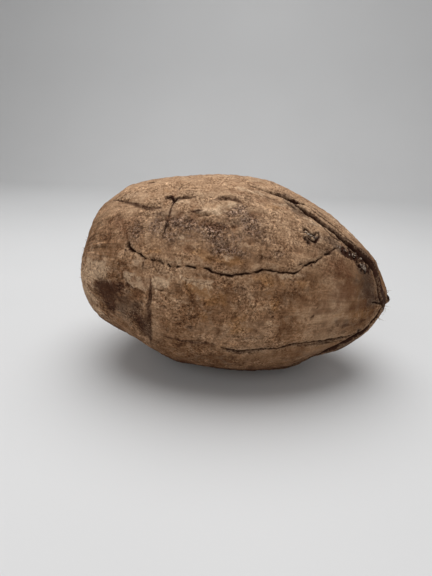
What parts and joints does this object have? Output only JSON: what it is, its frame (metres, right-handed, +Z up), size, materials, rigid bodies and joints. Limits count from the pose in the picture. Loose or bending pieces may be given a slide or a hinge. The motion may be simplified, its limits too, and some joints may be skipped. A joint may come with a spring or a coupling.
{
  "type": "coconut",
  "caption": "Dry brown coconut in its husk, egg-shaped with ridges, cracks and a small pointed nub at the tip.",
  "frame": {"origin": "centre of the bounding box, on the surface that the husk lies on", "axes": "+X along the husk from the stem end to the tip, +Y to its far side as pictured, +Z up"},
  "size_m": [0.2557, 0.1645, 0.1606],
  "materials": {
    "dry_husk": "dry, rough, fibrous"
  },
  "bodies": {
    "root": {"coconut": "dry_husk"}
  },
  "joints": []
}
